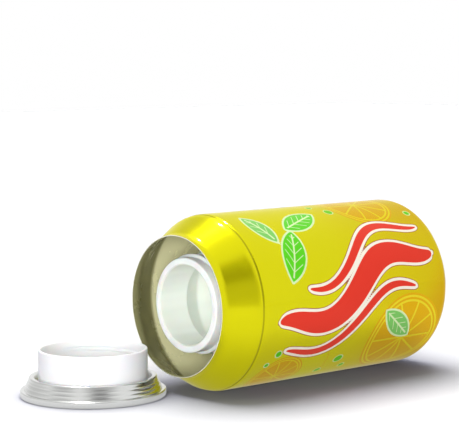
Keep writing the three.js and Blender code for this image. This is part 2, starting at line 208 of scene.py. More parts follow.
class Effects:
    """Shader groups that more than one finish uses. Each is built once."""

    FINE_DETAIL = 3.0
    SLOW_DETAIL = 2.0
    STREAK_SCALE = 90.0
    SMUDGE_DETAIL = 4.0
    SMUDGE_WEIGHT = 0.6
    SMUDGE_FROM = 0.5
    SMUDGE_TO = 0.75

    def __init__(self) -> None:
        """Builds the groups."""
        self.ink = self._group("ink layer", self._ink_layer, ("Colour", "Mask"), Under=(1, 1, 1, 1),
                               Ink=(1, 0, 0, 1), Distance=0.0, Edge=0.0, Softness=0.08)
        self.grain = self._group("surface grain", self._surface_grain, ("Height", "Tone"),
                                 Coordinates=None, Fine=2500.0, Slow=60.0)
        self.turned = self._group("turned marks", self._turned_marks, ("Height", "Streak"),
                                  Coordinates=None, Rings=4000.0)
        self.handling = self._group("handling", self._smudges, ("Mask",), Coordinates=None, Size=70.0)

    @staticmethod
    def _group(name: str, draw: Callable[[Nodes, Given], Sockets], results: tuple[str, ...],
               **inputs: object) -> Tree:
        """Builds a group with named sockets.

        Args:
            name: the group's name.
            draw: makes the group's nodes from its inputs and gives its results.
            results: names of the results, of which Colour is a colour and any other a number.
            inputs: first value of each input by name; None is for coordinates.

        Returns:
            The group's tree.
        """
        tree = bpy.data.node_groups.new(name, "ShaderNodeTree")
        for label, value in inputs.items():
            kind = "Vector" if value is None else "Color" if isinstance(value, tuple) else "Float"
            socket = tree.interface.new_socket(name=label, in_out="INPUT", socket_type=f"NodeSocket{kind}")
            if value is not None:
                socket.default_value = value
        for label in results:
            kind = "Color" if label == "Colour" else "Float"
            tree.interface.new_socket(name=label, in_out="OUTPUT", socket_type=f"NodeSocket{kind}")
        nodes = Nodes(tree)
        given = {socket.name: socket for socket in nodes.add("NodeGroupInput").outputs}
        nodes.add("NodeGroupOutput", *draw(nodes, given))
        return tree

    @staticmethod
    def _ink_layer(nodes: Nodes, given: Given) -> Sockets:
        """Lays one printed ink over what is under it, inside an edge of a distance field.

        Args:
            nodes: the group's nodes.
            given: the group's inputs by name.

        Returns:
            The colour and the ink's mask.
        """
        inside = nodes.maths("SUBTRACT", given["Edge"], given["Distance"])
        mask = nodes.maths("ADD", nodes.maths("DIVIDE", inside, given["Softness"]), 0.5, clamp=True)
        return nodes.mix(mask, given["Under"], given["Ink"]), mask

    @staticmethod
    def _surface_grain(nodes: Nodes, given: Given) -> Sockets:
        """Fine unevenness of a surface, as a height, and its slow tone."""
        place = given["Coordinates"]
        return (nodes.noise(place, given["Fine"], Effects.FINE_DETAIL),
                nodes.noise(place, given["Slow"], Effects.SLOW_DETAIL))

    @staticmethod
    def _turned_marks(nodes: Nodes, given: Given) -> Sockets:
        """Draws the fine rings round an upright axis that rolling and stamping leave on an end.

        Args:
            nodes: the group's nodes.
            given: the group's inputs by name.

        Returns:
            The rings' height and a slow streak.
        """
        across, along, up = nodes.split(given["Coordinates"])
        out = nodes.maths("MULTIPLY", nodes.length(across, along), given["Rings"])
        rise = nodes.maths("MULTIPLY", up, given["Rings"])
        rings = nodes.noise(nodes.add("CombineXYZ", out, None, rise).outputs[0], 1.0, Effects.FINE_DETAIL)
        return rings, nodes.noise(given["Coordinates"], Effects.STREAK_SCALE, Effects.SLOW_DETAIL)

    @staticmethod
    def _smudges(nodes: Nodes, given: Given) -> Sockets:
        """Faint smudges that fingers leave, as a mask."""
        cloud = nodes.noise(given["Coordinates"], given["Size"], Effects.SMUDGE_DETAIL,
                            Effects.SMUDGE_WEIGHT)
        return (nodes.ramp(cloud, Effects.SMUDGE_FROM, Effects.SMUDGE_TO),)


class Paint(Nodes):
    """Nodes of one material, with its shader, its centred coordinates and the shared effects."""

    def __init__(self, tree: Tree, effects: Effects, centre: Vector) -> None:
        """Starts the material.

        Args:
            tree: the material's node tree.
            effects: the shared shader groups.
            centre: point in metres that patterns are centred on.
        """
        super().__init__(tree)
        self.effects = effects
        self.shader = self.add("BsdfPrincipled")
        self.add("OutputMaterial", self.shader.outputs[0])
        self.vector = self.add("Mapping", self.add("TexCoord").outputs["Object"], -centre).outputs[0]

    def set(self, **values: object) -> None:
        """Feeds the shader's inputs by name, with underscores for spaces."""
        self.fill(self.shader, **values)

    def stored(self, name: str) -> Socket:
        """Number stored under a name on the piece's vertices."""
        return self.add("Attribute", attribute_name=name).outputs["Fac"]


@dataclass(frozen=True)
class Finish:
    """Base of the finishes: a Principled material with a fine height and a varied roughness."""

    name: str
    colour: Colour
    roughness: float
    roughness_spread: float = 0.06
    metallic: float = 0.0
    bump: float = 0.05
    bump_depth: float = 0.1
    fine: float = 2500.0
    slow: float = 60.0
    tone: float = 0.05
    coat: float = 0.0
    coat_roughness: float = 0.1
    subsurface: float = 0.0
    subsurface_depth: float = 2.0

    def make(self, effects: Effects, centre: Vector) -> bpy.types.Material:
        """Builds the material.

        Args:
            effects: the shared shader groups.
            centre: point in metres that patterns are centred on.

        Returns:
            The material.
        """
        material = bpy.data.materials.new(self.name)
        material.use_nodes = True
        paint = Paint(material.node_tree, effects, centre)
        paint.set(Metallic=self.metallic, Coat_Weight=self.coat, Coat_Roughness=self.coat_roughness,
                  Subsurface_Weight=self.subsurface, Subsurface_Scale=self.subsurface_depth * MM)
        self._dress(paint)
        return material

    def _dress(self, paint: Paint) -> None:
        """Covers the surface with grain and smudges.

        Args:
            paint: the material's nodes.
        """
        grain = paint.group(paint.effects.grain, Coordinates=paint.vector, Fine=self.fine, Slow=self.slow)
        smudges = paint.group(paint.effects.handling, Coordinates=paint.vector)
        self._cover(paint, grain.outputs["Tone"], smudges.outputs["Mask"], grain.outputs["Height"])

    def _cover(self, paint: Paint, tone: Socket, dull: Socket, height: Socket) -> None:
        """Feeds the shader's colour, roughness and normal.

        Args:
            paint: the material's nodes.
            tone: where the colour is darker.
            dull: where the surface is rougher.
            height: the fine height.
        """
        rough = paint.maths("MULTIPLY_ADD", dull, self.roughness_spread, self.roughness)
        bump = paint.fill(paint.add("Bump"), Strength=self.bump, Distance=self.bump_depth * MM, Height=height)
        paint.set(Base_Color=self._tint(paint, tone), Roughness=rough, Normal=bump.outputs[0])

    def _tint(self, paint: Paint, tone: Socket) -> Socket:
        """The plain colour, darker by the tone."""
        return paint.mix(tone, self.colour, self.darker)

    @property
    def darker(self) -> Colour:
        """The colour where the tone is strongest."""
        return tuple(channel * (1 - 2 * self.tone) for channel in self.colour)


@dataclass(frozen=True)
class TurnedMetal(Finish):
    """Bright sheet with fine rings round its axis."""

    rings: float = 3500.0

    def _dress(self, paint: Paint) -> None:
        """Covers the bright metal with the rings and their slight streak."""
        marks = paint.group(paint.effects.turned, Coordinates=paint.vector, Rings=self.rings).outputs
        self._cover(paint, marks["Streak"], marks["Streak"], marks["Height"])


@dataclass(frozen=True)
class JarPlastic(Finish):
    """Blown white plastic with painted shade greying the bore, and faint flow bands along the jar."""

    bore_shade_colour: Colour = srgb(237, 240, 234)
    band_rate: float = 2.6
    band_run: float = 14.0
    band_tone: float = 0.07
    band_low: float = 0.35
    band_high: float = 0.65

    def _tint(self, paint: Paint, tone: Socket) -> Socket:
        """Paints shade over the bore and draws the flow bands.

        Args:
            paint: the material's nodes.
            tone: where the colour is darker.

        Returns:
            The colour.
        """
        along, aside, up = paint.split(paint.vector)
        turn = paint.maths("ARCTAN2", aside, up)
        waves = [paint.maths(wave, turn) for wave in ("SINE", "COSINE")]
        ring = [paint.maths("MULTIPLY", wave, self.band_rate) for wave in waves]
        place = paint.add("CombineXYZ", *ring, paint.maths("MULTIPLY", along, self.band_run)).outputs[0]
        bands = paint.ramp(paint.noise(place, 1.0, 1.0), self.band_low, self.band_high,
                           1.0, 1.0 - self.band_tone)
        # Painted shade: the bore, inside the jar, takes a greyer colour.
        colour = paint.mix(paint.stored("inside"), WHITE, self.bore_shade_colour)
        for layer in (paint.mix(bands, BLACK, WHITE), super()._tint(paint, tone)):
            colour = paint.mix(1.0, colour, layer, "MULTIPLY")
        return colour


@dataclass(frozen=True)
class Lacquer(Finish):
    """Clear gold lacquer inside the can, with painted shade over the drawn neck."""

    neck_shade_colour: Colour = srgb(142, 140, 98)
    neck_end: float = 17.0
    neck_fade: float = 0.8

    def _tint(self, paint: Paint, tone: Socket) -> Socket:
        """Paints shade over the drawn neck, which faces away from the mouth."""
        # Painted shade: the neck ring takes a darker colour than the straight wall.
        straight = paint.ramp(paint.stored("depth"), self.neck_end - self.neck_fade,
                              self.neck_end + self.neck_fade)
        return paint.mix(straight, self.neck_shade_colour, super()._tint(paint, tone))


@dataclass(frozen=True)
class PrintedEnamel(Finish):
    """Yellow enamel with a printed pattern of ribbons, leaves, fruit wheels and dots, and painted shade."""

    # Print gradient to this warmer colour towards the base end, deepened there as painted shade of the chime's
    # rounding.
    warm_and_shade: Colour = srgb(212, 160, 0)
    warm_from: float = 48.0
    warm_to: float = 118.0
    warm_most: float = 0.9
    white: Colour = srgb(252, 244, 226)
    red: Colour = srgb(230, 44, 30)
    deep_red: Colour = srgb(150, 24, 16)
    leaf: Colour = srgb(84, 208, 16)
    leaf_pale: Colour = srgb(122, 200, 96)
    outline: Colour = srgb(216, 240, 178)
    fruit: Colour = srgb(226, 176, 0)
    fruit_line: Colour = srgb(234, 214, 40)
    edge_tint: Colour = srgb(250, 244, 150)
    specular: float = 0.25
    crease_at: float = 16.9
    crease_half: float = 0.22
    # Painted shade: the enamel darkens towards this colour in a thin band along the shoulder's crease.
    crease_shade_colour: Colour = srgb(92, 84, 0)
    crease_shade: float = 0.45
    crease_fade: float = 2.2
    tone_from: float = 0.4
    tone_to: float = 0.7
    tone_most: float = 0.5
    dot_rim: float = 0.5
    leaf_rim: float = 0.8
    ribbon_rim: float = 1.35
    ribbon_line: float = 1.1
    ink_metallic: float = 0.25
    opaque_edge: float = 0.7
    vein: float = 0.22
    midrib: float = 1.6
    vein_apart: float = 1.9
    vein_slant: float = 1.2
    vein_margin: float = 0.9
    rind: float = 0.93
    pith: float = 0.84
    wheel_line: float = 0.022
    wheel_parts: int = 10
    wheel_scale: float = 10.0

    def _tint(self, paint: Paint, tone: Socket) -> Socket:
        """Lays the inks over the enamel, each inside its own edge, and dulls the metal under them.

        Args:
            paint: the material's nodes.
            tone: where the enamel is darker.

        Returns:
            The printed colour, with painted shade along the crease and towards the base end.
        """
        depth, leaf, ribbon, dots = map(paint.stored, ("depth", "leaf", "ribbon", "dots"))
        # Print gradient towards the base end, partly painted shade there.
        warmth = paint.ramp(depth, self.warm_from, self.warm_to, 0.0, self.warm_most)
        under = paint.mix(warmth, self.colour, self.warm_and_shade)
        dark = paint.ramp(tone, self.tone_from, self.tone_to, 0.0, self.tone_most)
        under = paint.mix(dark, under, self.darker)
        wheel, lines = self._wheels(paint)
        green = paint.mix(paint.stored("leaf_pale"), self.leaf, self.leaf_pale)
        layers = (
            (wheel, 0.0, self.fruit), (lines, 0.0, self.fruit_line), (dots, self.dot_rim, self.outline),
            (dots, 0.0, self.leaf), (leaf, self.leaf_rim, self.outline), (leaf, 0.0, green),
            (self._veins(paint, leaf), 0.0, self.outline), (ribbon, self.ribbon_rim, self.deep_red),
            (ribbon, self.ribbon_line, self.white), (ribbon, 0.0, self.red),
        )
        opaque = 0.0
        for distance, edge, ink in layers:
            layer = paint.group(paint.effects.ink, Under=under, Ink=ink, Distance=distance, Edge=edge)
            under = layer.outputs["Colour"]
            if edge > self.opaque_edge:
                opaque = paint.maths("MAXIMUM", opaque, layer.outputs["Mask"])
        metal = paint.ramp(opaque, 0.0, 1.0, self.metallic, self.ink_metallic, "LINEAR")
        paint.set(Metallic=metal, Specular_IOR_Level=self.specular, Specular_Tint=self.edge_tint)
        # Painted shade: a thin dark line along the crease between shoulder and wall.
        away = paint.maths("ABSOLUTE", paint.maths("SUBTRACT", depth, self.crease_at))
        shade = paint.ramp(away, self.crease_half, self.crease_fade * self.crease_half, self.crease_shade, 0.0)
        return paint.mix(shade, under, self.crease_shade_colour)

    def _veins(self, paint: Paint, leaf: Socket) -> Socket:
        """Works out the distance from a leaf's midrib and side veins, inside the leaf.

        Args:
            paint: the material's nodes.
            leaf: distance from the leaf's outline.

        Returns:
            The distance in millimetres.
        """
        side = paint.maths("ABSOLUTE", paint.stored("leaf_side"))
        slant = paint.maths("MULTIPLY_ADD", side, -self.vein_slant, paint.stored("leaf_along"))
        rib = paint.maths("SUBTRACT", side, self.midrib * self.vein)
        twig = paint.maths("SUBTRACT", paint.maths("PINGPONG", slant, self.vein_apart), self.vein)
        margin = paint.maths("ADD", leaf, self.vein_margin)
        return paint.maths("MAXIMUM", paint.maths("MINIMUM", rib, twig), margin)

    def _wheels(self, paint: Paint) -> Sockets:
        """Works out the distances from a fruit wheel's disc and from its lines.

        Args:
            paint: the material's nodes.

        Returns:
            Both distances, in tenths of a wheel's radius.
        """
        across, along = paint.stored("wheel_u"), paint.stored("wheel_v")
        out = paint.length(across, along)
        fold = paint.maths("PINGPONG", paint.maths("ARCTAN2", across, along), math.pi / self.wheel_parts)
        spoke = paint.maths("MULTIPLY", out, paint.maths("SINE", fold))
        lines = paint.maths("MAXIMUM", paint.maths("SUBTRACT", spoke, self.wheel_line),
                            paint.maths("SUBTRACT", out, self.pith))
        for radius in (self.rind, self.pith):
            ring = paint.maths("ABSOLUTE", paint.maths("SUBTRACT", out, radius))
            lines = paint.maths("MINIMUM", lines, paint.maths("SUBTRACT", ring, self.wheel_line))
        disc = paint.maths("SUBTRACT", out, 1.0)
        return tuple(paint.maths("MULTIPLY", distance, self.wheel_scale) for distance in (disc, lines))


def rounded(corners: list[Corner], step: float = math.radians(10)) -> list[Vector]:
    """Points along a run of corners joined by straight stretches and round fillets.

    Args:
        corners: radius, depth and fillet radius of each corner; a fillet of 0 is sharp.
        step: largest turn between two points of a fillet, in radians.

    Returns:
        Points of radius and depth.
    """
    points: list[Vector] = []
    for index, (radius, depth, fillet) in enumerate(corners):
        corner = Vector((radius, depth))
        if fillet == 0:
            points.append(corner)
            continue
        back = (Vector(corners[index - 1][:2]) - corner).normalized()
        on = (Vector(corners[index + 1][:2]) - corner).normalized()
        half = math.acos(max(-1.0, min(1.0, back.dot(on)))) / 2
        centre = corner + (back + on).normalized() * (fillet / math.sin(half))
        spoke = corner + back * (fillet / math.tan(half)) - centre
        turn = (math.pi - 2 * half) * math.copysign(1.0, on.x * back.y - on.y * back.x)
        steps = max(2, math.ceil(abs(turn) / step))
        for part in range(steps + 1):
            points.append(centre + Matrix.Rotation(turn * part / steps, 2) @ spoke)
    return points


def offset(points: list[Vector], distance: float) -> list[Vector]:
    """Moves a run of points sideways, to the left of its direction.

    Args:
        points: the run.
        distance: how far, square to the run.

    Returns:
        The moved run.
    """
    moved: list[Vector] = []
    for index, point in enumerate(points):
        before = points[max(index - 1, 0)]
        after = points[min(index + 1, len(points) - 1)]
        arriving = (point - before).normalized() if index else (after - point).normalized()
        leaving = (after - point).normalized() if index < len(points) - 1 else arriving
        normal = Vector((-arriving.y - leaving.y, arriving.x + leaving.x)).normalized()
        miter = distance / math.sqrt(max(0.1, (1 + arriving.dot(leaving)) / 2))
        moved.append(point + normal * miter)
    return moved


def dense(points: list[Vector], spacing: float, low: float, high: float) -> list[Vector]:
    """Adds points to the stretches of a run that lie between two depths.

    Args:
        points: the run.
        spacing: largest distance between two points there.
        low: least depth of the stretch.
        high: greatest depth of the stretch.

    Returns:
        The run with its added points.
    """
    result = [points[0]]
    for start, end in zip(points, points[1:]):
        inside = low <= start.y <= high and low <= end.y <= high
        count = math.ceil((end - start).length / spacing) if inside else 1
        result.extend(start.lerp(end, part / count) for part in range(1, count + 1))
    return result


def axis_place(origin: Vector, along: Vector) -> Matrix:
    """Matrix into the part's frame in metres, for an origin in metres and the way that depth grows."""
    turn = Vector((0, 0, 1)).rotation_difference(along).to_matrix().to_4x4()
    return Matrix.Translation(origin) @ turn @ Matrix.Scale(MM, 4)


def finish_mesh(bm: Mesh, name: str, place: Matrix, sharp: float = 40.0) -> Piece:
    """Places a mesh, smooths its faces, marks its sharp edges and makes it an object.

    Args:
        bm: the mesh, in millimetres; it is freed.
        name: the object's name.
        place: matrix into the part's frame.
        sharp: angle in degrees from which an edge stays sharp.

    Returns:
        The object, at the origin.
    """
    bmesh.ops.transform(bm, matrix=place, verts=bm.verts)
    for face in bm.faces:
        face.smooth = True
    for edge in bm.edges:
        if edge.is_manifold and edge.calc_face_angle(0.0) > math.radians(sharp):
            edge.smooth = False
    mesh = bpy.data.meshes.new(name)
    bm.to_mesh(mesh)
    bm.free()
    piece = bpy.data.objects.new(name, mesh)
    bpy.context.scene.collection.objects.link(piece)
    return piece


def store(piece: Piece, name: str, values: Numbers | list[float]) -> None:
    """Keeps one number for each vertex of a piece, under a name."""
    attribute = piece.data.attributes.new(name, "FLOAT", "POINT")
    attribute.data.foreach_set("value", np.asarray(values, dtype=np.float32))


def spin(bm: Mesh, profile: list[Vector], steps: int, marks: list[float] | None = None) -> None:
    """Spins a profile, which starts and ends on the depth axis, into a closed shell.

    Args:
        bm: mesh that takes the shell.
        profile: points of radius and depth.
        steps: faces round the shell.
        marks: one number for each point, kept on the shell's vertices under the name mark.
    """
    layer = bm.verts.layers.float.get("mark") or bm.verts.layers.float.new("mark")
    verts = [bm.verts.new((point.x, 0, point.y)) for point in profile]
    for vert, value in zip(verts, marks or [0.0] * len(verts)):
        vert[layer] = value
    edges = [bm.edges.new(pair) for pair in zip(verts, verts[1:])]
    bmesh.ops.spin(bm, geom=verts + edges, cent=(0, 0, 0), axis=(0, 0, 1), dvec=(0, 0, 0),
                   angle=2 * math.pi, steps=steps, use_merge=True, use_duplicate=False)
    bmesh.ops.remove_doubles(bm, verts=bm.verts, dist=1e-4)
    bmesh.ops.dissolve_degenerate(bm, edges=bm.edges, dist=1e-5)
    bmesh.ops.recalc_face_normals(bm, faces=bm.faces)


@dataclass
class ThreadRidge:
    """Right-hand thread ridge that stands out of a neck, or inwards out of a bore."""

    radius: float
    height: float
    start: float
    pitch: float = 4.233
    turns: float = 1.25
    root: float = 2.0
    crest: float = 0.9
    sink: float = 0.3
    shoulder_rise: float = 0.8
    shoulder_half: float = 0.6
    crest_half: float = 0.3
    steps: int = 120
    run_out: float = 0.1
    end_height: float = 0.05

    def add_to(self, bm: Mesh) -> None:
        """Adds the ridge as a closed shell of its own.

        Args:
            bm: mesh that takes the ridge.
        """
        ridge = bmesh.new()
        foot = self.radius - math.copysign(self.sink, self.height)
        crest = self.radius + self.height
        shoulder = self.radius + self.shoulder_rise * self.height
        flank = ((foot, self.root / 2), (shoulder, self.shoulder_half * self.crest),
                 (crest, self.crest_half * self.crest))
        section = [(radius, -half) for radius, half in flank] + list(flank[::-1])
        verts = [ridge.verts.new((radius, 0, self.start + depth)) for radius, depth in section]
        edges = [ridge.edges.new(pair) for pair in zip(verts, verts[1:] + verts[:1])]
        climb = self.pitch * self.turns / self.steps
        bmesh.ops.spin(ridge, geom=verts + edges, cent=(0, 0, 0), axis=(0, 0, 1), dvec=(0, 0, climb),
                       angle=2 * math.pi * self.turns, steps=self.steps, use_merge=False,
                       use_duplicate=False)
        open_edges = [edge for edge in ridge.edges if edge.is_boundary]
        bmesh.ops.holes_fill(ridge, edges=open_edges, sides=len(section))
        ridge.verts.index_update()
        for vert in ridge.verts:
            self._fade(vert, vert.index // len(section) / self.steps)
        bmesh.ops.recalc_face_normals(ridge, faces=ridge.faces)
        mesh = bpy.data.meshes.new("ridge")
        ridge.to_mesh(mesh)
        ridge.free()
        bm.from_mesh(mesh)
        bpy.data.meshes.remove(mesh)

    def _fade(self, vert: bmesh.types.BMVert, share: float) -> None:
        """Lowers the ridge towards its two ends.

        Args:
            vert: a vertex of the ridge.
            share: how far along the ridge it is, from 0 to 1.
        """
        rise = math.hypot(vert.co.x, vert.co.y) - self.radius
        if rise * self.height <= 0:
            return
        fade = min(1.0, self.end_height + min(share, 1 - share) / self.run_out)
        scale = (self.radius + rise * fade) / (self.radius + rise)
        vert.co.x *= scale
        vert.co.y *= scale


@dataclass(frozen=True)
class Band:
    """One band of the printed ribbon: how far aside of its middle line, and where it starts and ends."""

    aside: float
    half_width: float
    low: float
    high: float


@dataclass(frozen=True)
class Leaf:
    """One printed leaf: where its middle lies on the panel, its size and its angle in degrees."""

    depth: float
    across: float
    length: float
    width: float
    angle: float
    pale: bool = False

    def values(self, across: Numbers, depth: Numbers) -> tuple[Numbers | float, ...]:
        """Measures the leaf over the panel.

        Args:
            across: positions across the panel.
            depth: positions along the can.

        Returns:
            Distance from its outline, places across and along it, and its paleness.
        """
        cos, sin = math.cos(math.radians(self.angle)), math.sin(math.radians(self.angle))
        along = (depth - self.depth) * cos + (across - self.across) * sin
        side = -(depth - self.depth) * sin + (across - self.across) * cos
        bow = (self.length**2 + self.width**2) / (4 * self.width)
        outline = np.hypot(along, np.abs(side) + bow - self.width / 2) - bow
        return outline, side, along, float(self.pale)


@dataclass(frozen=True)
class Dot:
    """One printed dot: where it lies on the panel and its radius."""

    depth: float
    across: float
    radius: float

    def values(self, across: Numbers, depth: Numbers) -> tuple[Numbers, ...]:
        """Distance from the dot's edge."""
        return (np.hypot(depth - self.depth, across - self.across) - self.radius,)


@dataclass(frozen=True)
class Wheel(Dot):
    """One printed fruit wheel, which lies as a dot does."""

    def values(self, across: Numbers, depth: Numbers) -> tuple[Numbers, ...]:
        """Distance from its middle and places on it, in parts of its radius."""
        aside, along = (across - self.across) / self.radius, (depth - self.depth) / self.radius
        return np.hypot(aside, along), aside, along


@dataclass
class LabelArt:
    """Printed pattern of the can, as fields over its outer wall.

    The pattern is written on a flat panel of half the can's circumference: across runs round the can
    and depth runs along it, in millimetres. The panel repeats on the can's other side.
    """

    circumference: float
    middle: float = 66.0
    across_shift: float = 5.0
    slope: float = 0.36
    wave: float = 5.5
    wavelength: float = 58.0
    taper: float = 0.4
    bands: tuple[Band, ...] = (
        Band(0.0, 5.0, 25.0, 108.0), Band(-12.6, 1.7, 31.0, 96.0), Band(12.4, 1.7, 40.0, 106.0))
    leaves: tuple[Leaf, ...] = (
        Leaf(37.0, 15.0, 23.0, 10.0, 66.0), Leaf(50.0, 31.0, 21.0, 9.0, 22.0),
        Leaf(29.0, 29.0, 17.0, 7.5, 112.0, pale=True), Leaf(88.0, -17.0, 19.0, 8.0, -38.0, pale=True))
    wheels: tuple[Wheel, ...] = (Wheel(93.0, -24.0, 19.0), Wheel(88.0, 41.0, 16.0), Wheel(34.0, -37.0, 12.0))
    dots: tuple[Dot, ...] = (
        Dot(63.0, -31.0, 1.9), Dot(68.5, -36.5, 1.2), Dot(57.0, -38.0, 1.4), Dot(70.0, 36.0, 1.7),
        Dot(65.0, 42.0, 1.1), Dot(28.0, -23.0, 1.3), Dot(24.5, -28.0, 0.9), Dot(108.0, 30.0, 1.2))

    def fields(self, turn: Numbers, depth: Numbers) -> dict[str, Numbers]:
        """Works out the fields of every motif; distances are negative inside.

        Args:
            turn: angles round the can, in radians.
            depth: positions along the can.

        Returns:
            The fields by name.
        """
        half = self.circumference / 2
        across = turn / (2 * math.pi) * self.circumference - self.across_shift
        across = (across + half / 2) % half - half / 2
        result = {"depth": depth, "ribbon": self._ribbon(across, depth)}
        for motifs, empty in (
                (self.dots, {"dots": FAR}),
                (self.leaves, {"leaf": FAR, "leaf_side": 0.0, "leaf_along": 0.0, "leaf_pale": 0.0}),
                (self.wheels, {"wheel": FAR, "wheel_u": 9.0, "wheel_v": 9.0})):
            nearest = {name: np.full_like(depth, value) for name, value in empty.items()}
            for motif in motifs:
                values = motif.values(across, depth)
                nearer = values[0] < next(iter(nearest.values()))
                for name, value in zip(nearest, values):
                    nearest[name] = np.where(nearer, value, nearest[name])
            result |= nearest
        del result["wheel"]
        return result

    def _ribbon(self, across: Numbers, depth: Numbers) -> Numbers:
        """Works out the distance from the wavy bands, which keep their width up to blunt ends.

        Args:
            across: positions across the panel.
            depth: positions along the can.

        Returns:
            The distances.
        """
        turn = 2 * math.pi * (depth - self.middle) / self.wavelength
        line = self.slope * (depth - self.middle) + self.wave * np.sin(turn)
        slope = self.slope + self.wave * 2 * math.pi / self.wavelength * np.cos(turn)
        result = np.full_like(depth, FAR)
        for band in self.bands:
            share = np.clip((depth - band.low) / (band.high - band.low), 0, 1)
            half = band.half_width * np.sin(math.pi * share) ** self.taper
            gap = np.abs(across - line - band.aside) / np.sqrt(1 + slope**2)
            beyond = np.maximum(np.maximum(band.low - depth, depth - band.high), 0)
            result = np.minimum(result, np.hypot(gap, beyond) - half)
        return result


@dataclass
class CanShell:
    """Drawn and printed can body, cut off under its old seam."""

    axis: Vector
    start: float
    radius: float
    length: float
    cut_edge: float = 2.8
    wall: float = 0.3
    neck_radius: float = 26.3
    neck_straight: float = 2.2
    neck_angle: float = math.radians(31)
    neck_fillet: float = 6.0
    shoulder_fillet: float = 9.0
    crease_at: float = 16.9
    crease_depth: float = 0.18
    crease_width: float = 0.35
    crease_reach: float = 1.5
    bare_edge: float = 0.35
    printed_to: float = 108.0
    printed_radius: float = 30.6
    stand_radius: float = 24.9
    stand_width: float = 1.5
    stand_fillet: float = 0.6
    chime_height: float = 9.2
    chime_fillet: float = 5.0
    leg_height: float = 5.6
    leg_taper: float = 1.1
    leg_fillet: float = 1.2
    dome_depth: float = 10.4
    dome_parts: int = 24
    fillet_turn: float = math.radians(4)
    margin: float = 2.0
    fine_skip: int = 2
    coarse_skip: int = 12
    cut_mark: float = 0.5
    enamel_most: float = 0.4
    lacquer_least: float = 0.9
    steps: int = 304
    spacing: float = 0.72

    @property
    def place(self) -> Matrix:
        """Matrix from radius and depth into the part's frame."""
        origin = Vector((self.start - self.cut_edge * MM, self.axis.y, self.axis.z))
        return axis_place(origin, Vector((1, 0, 0)))

    def outside(self) -> list[Vector]:
        """Draws the outer profile from the cut edge to the middle of the dome.

        Returns:
            Points of radius and depth.
        """
        run = (self.radius - self.neck_radius) / math.tan(self.neck_angle)
        neck_end = self.cut_edge + self.neck_straight
        leg = self.stand_radius - self.stand_width
        dome_edge = leg - self.leg_taper
        edge_depth = self.length - self.leg_height
        dome_top = self.length - self.dome_depth
        corners = [
            (self.neck_radius, self.cut_edge, 0.0),
            (self.neck_radius, neck_end, self.neck_fillet),
            (self.radius, neck_end + run, self.shoulder_fillet),
            (self.radius, self.length - self.chime_height, self.chime_fillet),
            (self.stand_radius, self.length, self.stand_fillet),
            (leg, self.length, self.stand_fillet),
            (dome_edge, edge_depth, self.leg_fillet),
            (0.0, dome_top, 0.0),
        ]
        wall = rounded(corners, self.fillet_turn)[:-1]
        rise = edge_depth - dome_top
        sphere = (dome_edge**2 + rise**2) / (2 * rise)
        first = wall[-1].x
        radii = [first * (1 - part / self.dome_parts) for part in range(1, self.dome_parts + 1)]
        wall += [Vector((r, dome_top + sphere - math.sqrt(sphere**2 - r**2))) for r in radii]
        wall = dense(wall, self.spacing, self.cut_edge, self.length - self.chime_height + self.margin)
        wall = dense(wall, self.crease_width / 2, self.crease_at - self.crease_reach,
                     self.crease_at + self.crease_reach)
        return [self._creased(point) for point in wall]

    def _creased(self, point: Vector) -> Vector:
        """Presses the faint line between shoulder and wall into the profile."""
        away = (point.y - self.crease_at) / self.crease_width
        return Vector((point.x - self.crease_depth * math.exp(-away * away), point.y))

    def build(self) -> Piece:
        """Makes the shell with its pattern's fields on its vertices.

        Returns:
            The can, whose material numbers are those of Skin.
        """
        outer = self.outside()
        inner = offset(outer, self.wall)[::-1]
        inner[0].x = 0.0
        neck_to, bare_to = self.crease_at + self.margin, self.cut_edge + self.bare_edge
        coarse = [point for index, point in enumerate(inner[:-1])
                  if index % (self.fine_skip if point.y < neck_to else self.coarse_skip) == 0] + inner[-1:]
        marks = [1.0] * len(coarse) + [self.cut_mark * (point.y < bare_to) for point in outer]
        bm = bmesh.new()
        spin(bm, coarse + outer, self.steps, marks)
        layer = bm.verts.layers.float["mark"]
        for face in bm.faces:
            side = sum(vert[layer] for vert in face.verts) / len(face.verts)
            skin = Skin.LACQUER if side > self.lacquer_least else Skin.CUT_EDGE
            skin = Skin.ENAMEL if side < self.enamel_most else skin
            middle = face.calc_center_median()
            if side == 0 and middle.z > self.printed_to and middle.xy.length < self.printed_radius:
                skin = Skin.BARE_BASE
            face.material_index = skin.value
        depth = np.array([vert.co.z for vert in bm.verts])
        piece = finish_mesh(bm, "printed_can", self.place)
        points = np.array([vert.co for vert in piece.data.vertices])
        turn = np.arctan2(points[:, 2] - self.axis.z, self.axis.y - points[:, 1])
        for name, values in LabelArt(2 * math.pi * self.radius).fields(turn, depth).items():
            store(piece, name, values)
        return piece


